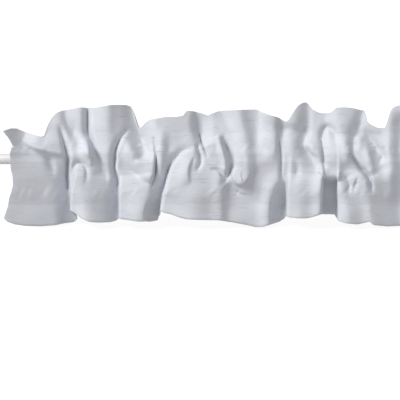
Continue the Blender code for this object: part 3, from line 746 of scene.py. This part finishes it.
def cloth_faces(rings, first, last):
    """Faces of the closed sheet, and where each grid's points start in the mesh."""
    count = COLUMNS + 1
    starts = {}
    total = 0
    for name, grid in rings.items():
        starts[name] = total
        total += len(grid) * count

    def at(name, row, column):
        return starts[name] + row * count + column

    faces = []

    def strip(low, high):
        for column in range(COLUMNS):
            faces.append((at(*low, column), at(*low, column + 1),
                          at(*high, column + 1), at(*high, column)))

    front_rows = len(rings["front"])
    back_rows = len(rings["back"])
    for row in range(front_rows - 1):
        strip(("front", row), ("front", row + 1))
    strip(("front", front_rows - 1), ("back", back_rows - 1))
    for row in range(back_rows - 1, 0, -1):
        strip(("back", row), ("back", row - 1))
    strip(("back", 0), ("front", 0))
    inner_rows = len(rings["inner_front"])
    strip(("inner_back", 0), ("inner_front", 0))
    for row in range(inner_rows - 1):
        strip(("inner_front", row + 1), ("inner_front", row))
        strip(("inner_back", row), ("inner_back", row + 1))
    strip(("inner_back", inner_rows - 1), ("inner_front", inner_rows - 1))
    for face in side_faces(back_rows, first, last, inner_rows):
        faces.append(tuple(at(name, row, 0) for name, row in face))
        faces.append(tuple(at(name, row, COLUMNS) for name, row in reversed(face)))
    return faces


def side_faces(back_rows, first, last, inner_rows):
    """Faces that close one side edge of the cloth, each as (grid, row) corners."""
    seam_low = first // COARSE_STEP
    seam_high = last // COARSE_STEP

    def inner_back(row):
        """The pocket's back inner row at a coarse row; both grids share the seams' points."""
        return ("inner_back", row - seam_low - 1) if row > seam_low else ("inner_front", 0)

    def inner_front(row):
        """The pocket's front inner row at a coarse row."""
        if row < seam_high:
            return ("inner_front", row - seam_low)
        return ("inner_back", inner_rows - 1)

    faces = []
    for row in range(back_rows - 1):
        front = [("front", row * COARSE_STEP + step) for step in range(COARSE_STEP + 1)]
        behind = [("back", row + 1), ("back", row)]
        if seam_low <= row < seam_high:
            faces.append(front + [inner_front(row + 1), inner_front(row)])
            faces.append([inner_back(row), inner_back(row + 1)] + behind)
        else:
            above = [("inner_front", 0)] if row + 1 == seam_low else []
            below = [inner_front(seam_high)] if row == seam_high else []
            faces.append(front + above + behind + below)
    return faces


def add_piece(name, points, faces, material):
    """A smooth piece in the scene from points in millimetres."""
    mesh = bpy.data.meshes.new(name)
    mesh.from_pydata([tuple(np.array(point) * METRES_PER_MM) for point in points], [], faces)
    mesh.update()
    mesh.shade_smooth()
    mesh.materials.append(material)
    piece = bpy.data.objects.new(name, mesh)
    bpy.context.scene.collection.objects.link(piece)
    return piece


def cloth_piece(name, rings, flats, faces, material):
    """The cloth, with its flat place on the panel as UV, in metres."""
    points = np.concatenate([grid.reshape(-1, 3) for grid in rings.values()])
    across = np.linspace(0.0, FLAT_WIDTH, COLUMNS + 1)
    flat = np.concatenate([np.stack(np.meshgrid(across, heights), axis=-1).reshape(-1, 2)
                           for heights in flats.values()]) * METRES_PER_MM
    piece = add_piece(name, points, faces, material)
    mesh = piece.data
    layer = mesh.uv_layers.new(name="flat_panel")
    corner = np.zeros(len(mesh.loops), dtype=np.int32)
    mesh.loops.foreach_get("vertex_index", corner)
    layer.data.foreach_set("uv", flat[corner].ravel())
    mesh.set_sharp_from_angle(angle=math.radians(SHARP_ANGLE))
    return piece


def tube_faces(rings, sides, base=0):
    """Faces of a tube with closed ends, from rings of points that start at base."""
    faces = []
    for ring in range(rings - 1):
        for side in range(sides):
            following = (side + 1) % sides
            low = base + ring * sides
            faces.append((low + side, low + following,
                          low + sides + following, low + sides + side))
    faces.append(tuple(base + side for side in reversed(range(sides))))
    faces.append(tuple(base + (rings - 1) * sides + side for side in range(sides)))
    return faces


def stitch_run(line, normal):
    """Stitches along one seam: short rounded threads that dip into the cloth at both ends."""
    step = np.linalg.norm(np.diff(line, axis=0), axis=1)
    length = np.concatenate([[0.0], np.cumsum(step)])
    points = []
    faces = []
    place = STITCH_GAP
    while place + STITCH_LENGTH < length[-1]:
        base = len(points)
        for ring in range(STITCH_RINGS):
            share = ring / (STITCH_RINGS - 1)
            at = place + STITCH_LENGTH * share
            centre = np.array([np.interp(at, length, line[:, axis]) for axis in range(3)])
            ahead = np.array([np.interp(at + STITCH_AHEAD, length, line[:, axis])
                              for axis in range(3)])
            up = np.array([np.interp(at, length, normal[:, axis]) for axis in range(3)])
            up /= np.linalg.norm(up)
            side = np.cross(ahead - centre, up)
            side /= np.linalg.norm(side)
            bow = math.sin(math.pi * share)
            radius = THREAD_RADIUS * (STITCH_END + (1.0 - STITCH_END) * bow)
            middle = centre + up * (THREAD_RADIUS * (bow * STITCH_BOW - STITCH_SINK))
            for corner in range(THREAD_SIDES):
                angle = 2.0 * math.pi * corner / THREAD_SIDES
                points.append(middle + radius * (math.cos(angle) * up + math.sin(angle) * side))
        faces += tube_faces(STITCH_RINGS, THREAD_SIDES, base)
        place += STITCH_LENGTH + STITCH_GAP
    return points, faces


def stitching_piece(name, rings, first, last, material):
    """All stitches of the two seams, on the cloth's front and back, as one mesh."""
    points = []
    faces = []
    runs = (("front", first), ("front", last),
            ("back", first // COARSE_STEP), ("back", last // COARSE_STEP))
    for grid, row in runs:
        normal = surface_normals(rings[grid])[row]
        if grid == "back":
            normal = -normal
        new_points, new_faces = stitch_run(rings[grid][row], normal)
        faces += [tuple(corner + len(points) for corner in face) for face in new_faces]
        points += new_points
    return add_piece(name, points, faces, material)


def rod_piece(name, material):
    """The rod with its ends' edges rounded off."""
    low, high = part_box("curtain_rod")
    length = (high[0] - low[0]) / METRES_PER_MM
    corner = ROD_EDGE * ROD_EDGE_CORNER
    end = [(0.0, ROD_RADIUS - ROD_EDGE), (corner, ROD_RADIUS - corner), (ROD_EDGE, ROD_RADIUS)]
    profile = end + [(length * share, ROD_RADIUS) for share in ROD_RINGS]
    profile += [(length - x, radius) for x, radius in reversed(end)]
    points = []
    for x, radius in profile:
        for side in range(ROD_SIDES):
            angle = 2.0 * math.pi * side / ROD_SIDES
            points.append((x, radius * math.cos(angle), radius * math.sin(angle)))
    piece = add_piece(name, points, tube_faces(len(profile), ROD_SIDES), material)
    piece.data.set_sharp_from_angle(angle=math.radians(SHARP_ANGLE))
    return piece


class Nodes:
    """A short way to add and join a material's nodes."""

    def __init__(self, name):
        self.material = bpy.data.materials.new(name)
        self.material.use_nodes = True
        self.tree = self.material.node_tree
        self.shader = self.tree.nodes["Principled BSDF"]

    def add(self, kind, **inputs):
        """A new node with some of its inputs set."""
        node = self.tree.nodes.new(kind)
        for key, value in inputs.items():
            node.inputs[key.replace("_", " ")].default_value = value
        return node

    def join(self, source, target):
        """Link an output to an input."""
        self.tree.links.new(source, target)

    def math(self, operation, first, second):
        """One sum on two numbers or outputs."""
        node = self.tree.nodes.new("ShaderNodeMath")
        node.operation = operation
        for socket, value in zip(node.inputs, (first, second)):
            if isinstance(value, (int, float)):
                socket.default_value = value
            else:
                self.join(value, socket)
        return node.outputs[0]

    def stretched(self, source, scale):
        """A copy of a vector stretched by three factors."""
        node = self.tree.nodes.new("ShaderNodeMapping")
        node.vector_type = "POINT"
        node.inputs["Scale"].default_value = scale
        self.join(source, node.inputs["Vector"])
        return node.outputs[0]

    def noise(self, vector, detail=2.0, roughness=0.5):
        """Soft noise at a place."""
        node = self.add("ShaderNodeTexNoise", Scale=1.0, Detail=detail, Roughness=roughness)
        self.join(vector, node.inputs["Vector"])
        return node.outputs["Fac"]

    def bands(self, vector, pitch, direction, distortion):
        """Soft even bands, one for each pitch."""
        node = self.add("ShaderNodeTexWave", Scale=WAVE_PER_METRE / pitch, Distortion=distortion)
        node.bands_direction = direction
        self.join(vector, node.inputs["Vector"])
        return node.outputs["Fac"]

    def raise_surface(self, height, strength, distance):
        """Raise the shader's surface by a height times a distance in metres."""
        bump = self.add("ShaderNodeBump", Strength=strength, Distance=distance)
        self.join(height, bump.inputs["Height"])
        self.join(bump.outputs["Normal"], self.shader.inputs["Normal"])

    def roughen(self, share, base, change):
        """Set the shader's roughness: a base, changed by a share."""
        self.join(self.math("ADD", base, self.math("MULTIPLY", share, change)),
                  self.shader.inputs["Roughness"])

    def colour(self, share, shade, light):
        """Colour the shader from a shade at zero to a light at one."""
        node = self.tree.nodes.new("ShaderNodeMix")
        node.data_type = "RGBA"
        node.inputs["A"].default_value = shade
        node.inputs["B"].default_value = light
        self.join(share, node.inputs["Factor"])
        self.join(node.outputs["Result"], self.shader.inputs["Base Color"])

    def ramp(self, source, low, high):
        """Zero below low, one above high."""
        node = self.tree.nodes.new("ShaderNodeMapRange")
        node.interpolation_type = "SMOOTHSTEP"
        node.inputs["From Min"].default_value = low
        node.inputs["From Max"].default_value = high
        self.join(source, node.inputs["Value"])
        return node.outputs["Result"]


def cloth_material():
    """Pale slubbed plain weave: fine threads, thicker crosswise slubs and a soft sheen."""
    nodes = Nodes("slubbed_cloth")
    panel = nodes.add("ShaderNodeUVMap")
    panel.uv_map = "flat_panel"
    flat = panel.outputs["UV"]

    weft = nodes.bands(flat, WEFT_PITCH, "Y", 0.6)
    warp = nodes.bands(flat, WARP_PITCH, "X", 0.6)
    weave = nodes.math("MULTIPLY", weft, warp)

    long_slubs = nodes.noise(nodes.stretched(flat, LONG_SLUBS), 3.0, 0.6)
    short_slubs = nodes.noise(nodes.stretched(flat, SHORT_SLUBS))
    yarns = nodes.noise(nodes.stretched(flat, YARNS))
    slub = nodes.math("MAXIMUM", nodes.ramp(long_slubs, *LONG_SLUB_RANGE),
                      nodes.ramp(short_slubs, *SHORT_SLUB_RANGE))
    patches = nodes.noise(nodes.stretched(flat, PATCHES), 3.0, 0.5)

    height = nodes.math("ADD", nodes.math("MULTIPLY", weave, WEAVE_RISE),
                        nodes.math("ADD", nodes.math("MULTIPLY", yarns, YARN_RISE), slub))
    nodes.raise_surface(height, WEAVE_BUMP, WEAVE_DEPTH)

    tone = nodes.math("ADD", nodes.math("MULTIPLY", yarns, YARN_TONE),
                      nodes.math("ADD", nodes.math("MULTIPLY", slub, SLUB_TONE),
                                 nodes.math("MULTIPLY", patches, PATCH_TONE)))
    tone = nodes.math("ADD", tone, nodes.math("MULTIPLY", weave, WEAVE_TONE))
    nodes.colour(nodes.ramp(tone, *TONE_RANGE), CLOTH_SHADE, CLOTH_LIGHT)
    nodes.roughen(slub, *CLOTH_ROUGHNESS)
    for socket, value in CLOTH_SHEEN.items():
        nodes.shader.inputs[socket].default_value = value
    return nodes.material


def thread_material():
    """Sewing thread with its two plies showing."""
    nodes = Nodes("sewing_thread")
    place = nodes.add("ShaderNodeTexCoord").outputs["Object"]
    plies = nodes.bands(place, THREAD_PITCH, "DIAGONAL", 0.4)
    nodes.raise_surface(plies, *THREAD_BUMP)
    nodes.colour(plies, THREAD_SHADE, THREAD_LIGHT)
    nodes.shader.inputs["Roughness"].default_value = THREAD_ROUGHNESS
    return nodes.material


def enamel_material():
    """Satin white enamel with a faint orange-peel surface and slight handling marks."""
    nodes = Nodes("white_enamel")
    place = nodes.add("ShaderNodeTexCoord").outputs["Object"]
    peel = nodes.noise(nodes.stretched(place, PEEL_SCALE))
    marks = nodes.noise(nodes.stretched(place, MARKS_SCALE), 4.0, 0.6)
    nodes.raise_surface(peel, *ENAMEL_BUMP)
    nodes.colour(nodes.ramp(marks, *MARKS_RANGE), ENAMEL_SHADE, ENAMEL_LIGHT)
    nodes.roughen(marks, *ENAMEL_ROUGHNESS)
    return nodes.material


def floor_material():
    """A matt floor made pale by painted light: it glows, a little more away from the valance."""
    nodes = Nodes("pale_floor")
    place = nodes.add("ShaderNodeTexCoord").outputs["Object"]
    grain = nodes.noise(nodes.stretched(place, FLOOR_GRAIN))
    nodes.roughen(grain, *FLOOR_ROUGHNESS)
    nodes.shader.inputs["Base Color"].default_value = FLOOR_COLOUR
    nodes.shader.inputs["Specular IOR Level"].default_value = 0.1
    nodes.shader.inputs["Emission Color"].default_value = (1.0, 1.0, 1.0, 1.0)
    axes = nodes.tree.nodes.new("ShaderNodeSeparateXYZ")
    nodes.join(place, axes.inputs["Vector"])
    # Painted light: the glow rises with distance from the valance
    away = nodes.ramp(nodes.math("ABSOLUTE", axes.outputs["Y"], 0.0), *FLOOR_GLOW_REACH)
    glow = nodes.math("MULTIPLY", away, FLOOR_GLOW[1] - FLOOR_GLOW[0])
    nodes.join(nodes.math("ADD", glow, FLOOR_GLOW[0]), nodes.shader.inputs["Emission Strength"])
    return nodes.material


def add_floor():
    """A wide pale floor just under the hem."""
    low = CAD_BOX[0]
    mesh = bpy.data.meshes.new("floor")
    z = low[2] - FLOOR_DROP * METRES_PER_MM
    middle_x = FRAME_MIDDLE[0] * METRES_PER_MM
    corners = [(middle_x + FLOOR_SIZE * right, FLOOR_SIZE * back, z)
               for right, back in ((-1, -1), (1, -1), (1, 1), (-1, 1))]
    mesh.from_pydata(corners, [], [(0, 1, 2, 3)])
    mesh.materials.append(floor_material())
    floor = bpy.data.objects.new("floor", mesh)
    floor.visible_diffuse = False
    bpy.context.scene.collection.objects.link(floor)


def add_camera():
    """A long lens looking slightly down, framing the same stretch as the photograph."""
    target = Vector((FRAME_MIDDLE[0], -TYPICAL_DEPTH, 0.0)) * METRES_PER_MM
    upward = Vector((0.0, math.sin(SIGHT_TILT), math.cos(SIGHT_TILT)))
    sight = Vector((0.0, math.cos(SIGHT_TILT), -math.sin(SIGHT_TILT)))
    seen = height_seen(0.0, TYPICAL_DEPTH)
    centre = target + upward * ((FRAME_MIDDLE[1] - seen) * METRES_PER_MM)
    data = bpy.data.cameras.new("camera")
    data.sensor_width = SENSOR
    data.lens = SENSOR * CAMERA_DISTANCE / (FRAME_WIDTH * METRES_PER_MM)
    data.clip_end = 100.0
    camera = bpy.data.objects.new("camera", data)
    camera.location = centre - sight * CAMERA_DISTANCE
    camera.rotation_euler = (math.pi / 2.0 - SIGHT_TILT, 0.0, 0.0)
    bpy.context.scene.collection.objects.link(camera)
    bpy.context.scene.camera = camera


def add_light(name, direction, distance, size, power):
    """A square soft light that faces the middle of the valance."""
    target = Vector((FRAME_MIDDLE[0] * METRES_PER_MM, 0.0, 0.0))
    data = bpy.data.lights.new(name, "AREA")
    data.size = size
    data.energy = power
    light = bpy.data.objects.new(name, data)
    towards = Vector(direction).normalized()
    light.location = target + towards * distance
    light.rotation_euler = towards.to_track_quat("Z", "Y").to_euler()
    bpy.context.scene.collection.objects.link(light)


def add_studio():
    """Even white light all round and one large soft light from the upper left."""
    world = bpy.data.worlds.new("studio")
    world.use_nodes = True
    background = world.node_tree.nodes["Background"]
    background.inputs["Color"].default_value = (1.0, 1.0, 1.0, 1.0)
    background.inputs["Strength"].default_value = SKY_STRENGTH
    bpy.context.scene.world = world
    bpy.context.scene.view_settings.view_transform = "Standard"
    add_light("key_light", KEY_DIRECTION, KEY_DISTANCE, KEY_SIZE, KEY_POWER)


def main():
    """Build the studio, the cloth, its stitching and the rod, hang each on the root body and hide
    the solid's cloth and rod.
    """
    add_camera()
    add_studio()
    add_floor()
    rings, flats, first, last = build_cloth()
    faces = cloth_faces(rings, first, last)
    cloth = cloth_piece("gathered_cloth", rings, flats, faces, cloth_material())
    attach(cloth, "root")
    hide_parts("valance_cloth")
    stitching = stitching_piece("seam_stitching", rings, first, last, thread_material())
    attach(stitching, "root")
    rod = rod_piece("enamelled_rod", enamel_material())
    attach(rod, "root")
    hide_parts("curtain_rod")


main()
